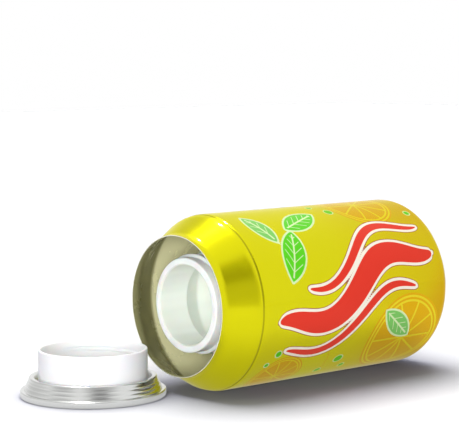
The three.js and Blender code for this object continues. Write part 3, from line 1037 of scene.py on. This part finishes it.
@dataclass
class InnerJar:
    """White jar with a threaded neck, a transfer bead and a sloping shoulder."""

    place: Matrix
    rim: float
    end: float
    radius: float
    wall: float = 1.3
    floor: float = 1.6
    bore: float = 15.0
    neck: float = 17.7
    shoulder: float = 19.0
    rise: float = 12.0
    body_fillet: float = 4.0
    lip_fillet: float = 0.6
    bead_height: float = 1.1
    bead_width: float = 1.1
    thread_height: float = 1.1
    thread_start: float = 2.4
    floor_fillet: float = 1.7
    bore_fillet: float = 1.0
    bead_fillet: float = 0.3
    bead_rim_fillet: float = 0.35
    base_fillet: float = 3.0
    spacing: float = 4.0
    steps: int = 160

    def build(self) -> Piece:
        """Makes the jar with its thread, and marks what lies inside it.

        Returns:
            The jar.
        """
        inside = self.radius - self.wall
        slope_end = self.shoulder + self.rise
        bead = self.neck + self.bead_height
        bead_start = self.shoulder - self.bead_width
        corners = [
            (0.0, self.end - self.floor, 0.0),
            (inside, self.end - self.floor, self.floor_fillet),
            (inside, slope_end + self.wall, self.body_fillet),
            (self.bore, self.shoulder + self.wall, self.bore_fillet),
            (self.bore, self.rim, self.lip_fillet),
            (self.neck, self.rim, self.lip_fillet),
            (self.neck, bead_start, self.bead_fillet),
            (bead, bead_start, self.bead_rim_fillet),
            (bead, self.shoulder, self.bead_fillet),
            (self.radius, slope_end, self.body_fillet),
            (self.radius, self.end, self.base_fillet),
            (0.0, self.end, 0.0),
        ]
        bm = bmesh.new()
        profile = dense(rounded(corners), self.spacing, self.rim, self.end)
        lip = min(range(len(profile)), key=lambda index: profile[index].y)
        spin(bm, profile, self.steps, [float(index < lip - 1) for index in range(len(profile))])
        ThreadRidge(self.neck, self.thread_height, self.rim + self.thread_start).add_to(bm)
        values = [vert[bm.verts.layers.float["mark"]] for vert in bm.verts]
        piece = finish_mesh(bm, "threaded_jar", self.place)
        store(piece, "inside", values)
        return piece


@dataclass
class CanEnd:
    """Silver can end with its seam, stepped chuck wall, countersink, panel and rivet button."""

    place: Matrix
    seam_radius: float
    top: float
    seam_height: float = 2.5
    seam_width: float = 1.5
    sheet: float = 0.3
    panel_depth: float = 4.2
    panel_radius: float = 21.2
    panel_fillet: float = 0.8
    countersink_radius: float = 22.7
    ridge_half: float = 0.6
    ridge_fillet: float = 0.6
    beads: int = 3
    bead_height: float = 0.08
    rivet_shank: float = 1.6
    rivet_head: float = 2.7
    rivet_gap: float = 1.0
    head_height: float = 0.7
    head_fillet: float = 0.3
    under_head_fillet: float = 0.2
    shank_fillet: float = 0.1
    groove_fillet: float = 0.35
    seam_fillet: float = 0.5
    seam_low_fillet: float = 0.45
    seam_foot_fillet: float = 0.15
    bead_corners: tuple[Corner, ...] = ((0.28, 1.0, 0.4), (0.68, 1.0, 0.4), (1.0, 0.0, 0.25))
    fillet_turn: float = math.radians(14)
    steps: int = 192

    def build(self) -> Piece:
        """Makes the end.

        Returns:
            The end.
        """
        seam_inside = self.seam_radius - self.seam_width
        out_ridge = self.countersink_radius + self.ridge_half
        in_ridge = self.countersink_radius - self.ridge_half
        head = self.panel_depth - self.rivet_gap - self.head_height
        panel_top = self.panel_depth + self.sheet
        corners = [
            (0.0, head, 0.0),
            (self.rivet_head, head, self.head_fillet),
            (self.rivet_head, head + self.head_height, self.under_head_fillet),
            (self.rivet_shank, head + self.head_height, 0.0),
            (self.rivet_shank, self.panel_depth, self.shank_fillet),
            (self.panel_radius, self.panel_depth, self.panel_fillet),
            (in_ridge, self.top - self.sheet, self.groove_fillet),
            (out_ridge, self.top - self.sheet, self.groove_fillet),
            (seam_inside, 0.0, self.seam_fillet),
            (self.seam_radius, 0.0, self.seam_fillet),
            (self.seam_radius, self.seam_height, self.seam_low_fillet),
            (seam_inside, self.seam_height, self.seam_foot_fillet),
            *self._beads(seam_inside, out_ridge + self.sheet),
            (out_ridge + self.sheet, self.top, self.ridge_fillet),
            (in_ridge - self.sheet, self.top, self.ridge_fillet),
            (self.panel_radius - self.sheet, panel_top, self.panel_fillet),
            (0.0, panel_top, 0.0),
        ]
        bm = bmesh.new()
        spin(bm, rounded(corners, self.fillet_turn), self.steps)
        return finish_mesh(bm, "silver_end", self.place, sharp=60.0)

    def _beads(self, seam_inside: float, ridge: float) -> list[Corner]:
        """Draws the rounded beads that climb the flank from the seam to the countersink's ridge.

        Args:
            seam_inside: the seam's inner radius.
            ridge: the ridge's outer radius.

        Returns:
            The beads' corners.
        """
        low = Vector((seam_inside, self.seam_height))
        pitch = (Vector((ridge, self.top - self.ridge_fillet)) - low) / self.beads
        out = Vector((pitch.y, -pitch.x)).normalized() * self.bead_height
        corners: list[Corner] = []
        for bead in range(self.beads):
            for along, rise, fillet in self.bead_corners:
                corner = low + pitch * (bead + along) + out * rise
                corners.append((corner.x, corner.y, fillet))
        return corners[:-1]


@dataclass
class ScrewCap:
    """White screw cap, open upwards, with the thread inside its skirt and two mould marks."""

    place: Matrix
    radius: float
    low: float
    high: float
    bore: float = 19.1
    top: float = 1.4
    thread_height: float = 1.0
    thread_start: float = 2.9
    edge_fillet: float = 0.7
    floor_fillet: float = 0.4
    spacing: float = 2.0
    lip_share: float = 0.42
    mark_height: float = 0.22
    mark_width: float = 0.5
    mark_length: float = 7.0
    mark_bevel: float = 0.12
    mark_middle: float = 5.2
    mark_apart: float = 2.1
    mark_turn: float = math.radians(-133)
    steps: int = 176

    def build(self) -> Piece:
        """Makes the cap with its inner thread.

        Returns:
            The cap.
        """
        inside = self.low + self.top
        lip = (self.radius - self.bore) * self.lip_share
        corners = [
            (0.0, self.low, 0.0),
            (self.radius, self.low, self.edge_fillet),
            (self.radius, self.high, lip),
            (self.bore, self.high, lip),
            (self.bore, inside, self.floor_fillet),
            (0.0, inside, 0.0),
        ]
        bm = bmesh.new()
        spin(bm, dense(rounded(corners), self.spacing, self.low, self.high), self.steps)
        ThreadRidge(self.bore, -self.thread_height, inside + self.thread_start).add_to(bm)
        self._marks(bm)
        return finish_mesh(bm, "white_cap", self.place)

    def _marks(self, bm: Mesh) -> None:
        """Raises two upright mould marks on the skirt, sunk into it and rounded.

        Args:
            bm: the cap's mesh.
        """
        size = Vector((2 * self.mark_height, self.mark_width, self.mark_length))
        centre = Vector((self.radius - 0.25 * self.mark_height, 0, self.low + self.mark_middle))
        for aside in (-0.5, 0.5):
            turn = Matrix.Rotation(self.mark_turn + aside * self.mark_apart / self.radius, 4, "Z")
            place = turn @ Matrix.Translation(centre) @ Matrix.Diagonal(size).to_4x4()
            cube = bmesh.ops.create_cube(bm, size=1.0, matrix=place)["verts"]
            edges = list({edge for vert in cube for edge in vert.link_edges})
            bmesh.ops.bevel(bm, geom=edges, offset=self.mark_bevel, offset_type="OFFSET", segments=2,
                            profile=0.5, affect="EDGES", material=-1)


@dataclass(frozen=True)
class Shade:
    """Soft dark patch of the room, which only shiny surfaces mirror; all angles are in degrees."""

    azimuth: float
    height: float
    inner: float
    outer: float
    depth: float


@dataclass(frozen=True)
class Lamp:
    """Lamp that either lights plainly or is only a highlight, mirrored by shiny surfaces."""

    name: str
    kind: LampKind
    place: Vector
    power: float
    width: float
    mirrored: bool = False


@dataclass
class Studio:
    """Camera, lamps, pale floor and white surroundings."""

    camera_place: Vector = Vector((-0.4244, -0.4905, 0.1232))
    camera_forward: Vector = Vector((0.6497, 0.7546, -0.0922))
    camera_roll: float = math.radians(-0.33)
    focal_pixels: float = 1702.8
    aim: Vector = Vector((0, 0, 0.03))
    floor_size: float = 6.0
    floor_glow: float = 0.01
    floor_mirrored: float = 0.85
    floor_mirrored_share: float = 0.6
    floor_colour: Colour = (0.9, 0.9, 0.91)
    floor_bounced: Colour = (0.34, 0.34, 0.38)
    contact_shadow_colour: Colour = (0.37, 0.37, 1.25 * 0.37)
    contact_reach: float = 0.044
    contact_low: float = 0.36
    contact_high: float = 0.99
    contact_samples: int = 12
    lamps: tuple[Lamp, ...] = (
        Lamp("overhead", LampKind.SUN, Vector((0.1, 0.36, 0.93)), 3.0, math.radians(52.0)),
        Lamp("behind", LampKind.SUN, Vector((0.54, 0.62, 0.57)), 0.5, math.radians(50.0)),
        Lamp("sparkle", LampKind.SUN, Vector((0.11, 0.355, 0.925)), 2.2, math.radians(6.0), mirrored=True),
        Lamp("front", LampKind.AREA, Vector((-0.64, -0.63, 0.1)), 9.6, 0.3),
        Lamp("in_the_jar", LampKind.POINT, Vector((0.012, -0.008, 0.033)), 0.0085, 0.012))
    sky: float = 0.16
    sky_colour: Colour = (0.95, 0.97, 1.02)
    mirrored_sky: float = 0.98
    shades: tuple[Shade, ...] = (
        Shade(-112, 20, 8, 36, 0.42), Shade(-113, 44, 8, 18, 0.6),
        Shade(106, 35, 15, 45, 0.3), Shade(178, 12, 5, 30, 0.4))

    def build(self) -> None:
        """Sets up the whole studio."""
        self._camera()
        self._floor()
        self._world()
        for lamp in self.lamps:
            self._hang(lamp)
        bpy.context.scene.view_settings.view_transform = "Standard"

    def _camera(self) -> None:
        """Places the camera where the photograph was taken from."""
        data = bpy.data.cameras.new("camera")
        data.sensor_width = SENSOR_WIDTH
        data.lens = self.focal_pixels * SENSOR_WIDTH / PICTURE_WIDTH
        data.clip_start = 0.01
        camera = bpy.data.objects.new("camera", data)
        bpy.context.scene.collection.objects.link(camera)
        camera.location = self.camera_place
        camera.rotation_mode = "QUATERNION"
        turn = self.camera_forward.to_track_quat("-Z", "Y")
        camera.rotation_quaternion = turn @ Quaternion((0, 0, 1), self.camera_roll)
        bpy.context.scene.camera = camera

    def _hang(self, lamp: Lamp) -> None:
        """Hangs a lamp and aims it at the part.

        Args:
            lamp: the lamp.
        """
        data = bpy.data.lights.new(lamp.name, lamp.kind.name)
        setattr(data, lamp.kind.value, lamp.width)
        data.energy = lamp.power
        hung = bpy.data.objects.new(lamp.name, data)
        hung.visible_glossy = lamp.mirrored
        hung.visible_diffuse = not lamp.mirrored
        hung.visible_camera = False
        hung.location = lamp.place
        hung.rotation_mode = "QUATERNION"
        hung.rotation_quaternion = (self.aim - lamp.place).to_track_quat("-Z", "Y")
        bpy.context.scene.collection.objects.link(hung)

    @staticmethod
    def _mirrored(nodes: Nodes, share: float, plain: Socket, mirrored: Socket) -> Socket:
        """Shows shiny surfaces another shader than the plain one, but not once light has bounced.

        Args:
            nodes: nodes of the floor or the world.
            share: how much of the other shader they see.
            plain: the plain shader.
            mirrored: the other shader.

        Returns:
            The mixed shader.
        """
        light = nodes.add("LightPath").outputs
        direct = nodes.maths("MULTIPLY", nodes.maths("LESS_THAN", light["Diffuse Depth"], 0.5), share)
        seen = nodes.maths("MULTIPLY", light["Is Glossy Ray"], direct)
        return nodes.add("MixShader", seen, plain, mirrored).outputs[0]

    def _floor(self) -> None:
        """Makes the pale floor, which keeps the object's shadow, with painted contact shadow near the pieces.
        """
        bm = bmesh.new()
        bmesh.ops.create_grid(bm, x_segments=1, y_segments=1, size=self.floor_size / 2)
        floor = finish_mesh(bm, "floor", Matrix.Identity(4))
        material = bpy.data.materials.new("pale_floor")
        material.use_nodes = True
        nodes = Nodes(material.node_tree)
        # Painted contact shadow: the floor darkens towards the contact colour where ambient occlusion finds a
        # piece nearby.
        nearby = nodes.add("AmbientOcclusion", None, self.contact_reach, samples=self.contact_samples)
        clear = nodes.ramp(nearby.outputs["AO"], self.contact_low, self.contact_high, kind="LINEAR")
        white = nodes.mix(clear, self.contact_shadow_colour, self.floor_colour)
        bounced = nodes.maths("GREATER_THAN", nodes.add("LightPath").outputs["Diffuse Depth"], 0.5)
        diffuse = nodes.add("BsdfDiffuse", nodes.mix(bounced, white, self.floor_bounced))
        glow, bright = (nodes.add("Emission", None, strength).outputs[0]
                        for strength in (self.floor_glow, self.floor_mirrored))
        both = nodes.add("AddShader", diffuse.outputs[0], glow).outputs[0]
        nodes.add("OutputMaterial", self._mirrored(nodes, self.floor_mirrored_share, both, bright))
        floor.data.materials.append(material)

    def _world(self) -> None:
        """Lights the part evenly from all round, with white behind it in the picture."""
        world = bpy.data.worlds.new("surroundings")
        bpy.context.scene.world = world
        world.use_nodes = True
        nodes = Nodes(world.node_tree)
        mirrored_sky = nodes.maths("MULTIPLY", self._shading(nodes), self.mirrored_sky)
        room, mirrored, white = (nodes.add("Background", *values).outputs[0] for values in (
            (self.sky_colour, self.sky), (WHITE, mirrored_sky), (WHITE,)))
        seen = nodes.add("LightPath").outputs["Is Camera Ray"]
        shown = nodes.add("MixShader", seen, self._mirrored(nodes, 1.0, room, mirrored), white)
        nodes.add("OutputWorld", shown.outputs[0])

    def _shading(self, nodes: Nodes) -> Socket:
        """Works out the brightness of the mirrored room by direction, less its dark patches.

        Args:
            nodes: the world's nodes.

        Returns:
            The brightness, from 0 to 1.
        """
        direction = nodes.add("TexCoord").outputs["Generated"]
        left = 1.0
        for shade in self.shades:
            azimuth, height = math.radians(shade.azimuth), math.radians(shade.height)
            flat = math.cos(height)
            middle = Vector((flat * math.cos(azimuth), flat * math.sin(azimuth), math.sin(height)))
            near = nodes.add("VectorMath", direction, middle, operation="DOT_PRODUCT").outputs["Value"]
            outer, inner = (math.cos(math.radians(angle)) for angle in (shade.outer, shade.inner))
            left = nodes.maths("MULTIPLY", nodes.ramp(near, outer, inner, 1.0, 1.0 - shade.depth), left)
        return left


@dataclass
class Safe:
    """The whole safe: reads its places from the frame and builds and dresses every piece."""

    nodes: dict[str, Piece]
    effects: Effects = field(default_factory=Effects)

    def build(self) -> None:
        """Builds the new pieces, and dresses them and the solids that stay."""
        shell = self._can()
        self._jar(shell)
        centre = self._end()
        kept = (
            ("weight_fill", Slot.BALLAST, shell.axis, Finish(
                "cast_ballast", srgb(196, 190, 176), 0.9, bump=0.6, fine=900.0, slow=120.0, tone=0.12)),
            ("glue_disc", Slot.GLUE, centre, Finish(
                "set_glue", srgb(226, 216, 180), 0.45, bump=0.3, fine=600.0, tone=0.06)),
            ("cap_liner", Slot.LINER, centre, Finish(
                "liner_foam", srgb(232, 232, 226), 0.8, bump=0.4, fine=3000.0, tone=0.04)),
            ("pull_tab", Slot.TAB, centre, Finish(
                "tab_metal", srgb(196, 197, 196), 0.3, metallic=1.0, tone=0.03)),
        )
        for node, slot, middle, finish in kept:
            self.nodes[node].data.materials.clear()
            self._dress(self.nodes[node], middle, finish)
            LOG.info("%s keeps its solid, in %s", node, slot.value)

    def _can(self) -> CanShell:
        """Builds the can's shell in its own place.

        Returns:
            The shell's sizes and place, which the jar needs.
        """
        low, high = map(Vector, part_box("can_body"))
        axis = Vector((0.0, (low.y + high.y) / 2, (low.z + high.z) / 2))
        shell = CanShell(axis, low.x, (high.z - low.z) / 2 / MM, (high.x - low.x) / MM + CanShell.cut_edge)
        piece = shell.build()
        self._dress(
            piece, axis,
            PrintedEnamel("printed_enamel", srgb(222, 216, 0), 0.22, metallic=0.85, bump=0.01, fine=350.0,
                          slow=22.0, tone=0.03, coat=0.17, coat_roughness=0.07),
            Lacquer("inside_lacquer", srgb(240, 238, 192), 0.26, metallic=0.15, bump=0.02, fine=400.0,
                    slow=45.0, tone=0.06),
            Finish("bare_cut_edge", srgb(244, 242, 226), 0.35, metallic=0.6, tone=0.02),
            TurnedMetal("bare_base", srgb(214, 212, 204), 0.24, roughness_spread=0.1, metallic=1.0,
                        tone=0.04))
        self._hang(piece, "can", Slot.ENAMEL, "can_body")
        return shell

    def _jar(self, shell: CanShell) -> None:
        """Builds the jar inside the can.

        Args:
            shell: the can's shell.
        """
        low, high = map(Vector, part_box("inner_jar"))
        zero = shell.start - shell.cut_edge * MM
        piece = InnerJar(shell.place, (low.x - zero) / MM, (high.x - zero) / MM,
                         (high.z - low.z) / 2 / MM).build()
        self._dress(piece, shell.axis, JarPlastic(
            "jar_plastic", srgb(246, 248, 245), 0.34, bump=0.02, fine=400.0, slow=30.0, tone=0.0,
            subsurface=0.25, coat=0.1))
        self._hang(piece, "can", Slot.JAR, "inner_jar")

    def _end(self) -> Vector:
        """Builds the end and its cap where they stand.

        Returns:
            The point of the floor under the end's middle.
        """
        low, high = map(Vector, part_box("lid_end"))
        centre = Vector(((low.x + high.x) / 2, (low.y + high.y) / 2, low.z))
        place = axis_place(centre, Vector((0, 0, 1)))
        end = CanEnd(place, (high.x - low.x) / 2 / MM, (high.z - low.z) / MM).build()
        self._dress(end, centre, TurnedMetal(
            "end_silver", srgb(224, 225, 223), 0.16, roughness_spread=0.1, metallic=1.0, bump=0.06,
            tone=0.04))
        self._hang(end, "lid", Slot.END, "lid_end")
        low, high = map(Vector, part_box("screw_cap"))
        cap = ScrewCap(place, (high.x - low.x) / 2 / MM, low.z / MM, high.z / MM).build()
        self._dress(cap, centre, Finish(
            "cap_plastic", srgb(243, 243, 244), 0.42, bump=0.04, fine=1400.0, slow=40.0, tone=0.008,
            subsurface=0.15))
        self._hang(cap, "lid", Slot.CAP, "screw_cap")
        return centre

    def _dress(self, piece: Piece, centre: Vector, *finishes: Finish) -> None:
        """Gives a piece its finishes.

        Args:
            piece: the piece, new or a solid that stays.
            centre: point that patterns are centred on.
            finishes: the finishes, by material number.
        """
        for finish in finishes:
            piece.data.materials.append(finish.make(self.effects, centre))

    @staticmethod
    def _hang(piece: Piece, body: str, slot: Slot, node: str) -> None:
        """Hangs a new piece on a body, in place of a solid.

        Args:
            piece: the new piece.
            body: the body that it moves with.
            slot: its material slot; not used.
            node: the solid that it stands for.
        """
        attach(piece, body)
        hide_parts(node)
        LOG.info("%s stands for %s, with %d faces", piece.name, node, len(piece.data.polygons))


def main() -> None:
    """Loads the frame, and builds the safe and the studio."""
    logging.basicConfig(level=logging.INFO, format="%(name)s: %(message)s")
    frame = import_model()
    Safe(frame["nodes"]).build()
    Studio().build()


if __name__ == "__main__":
    main()
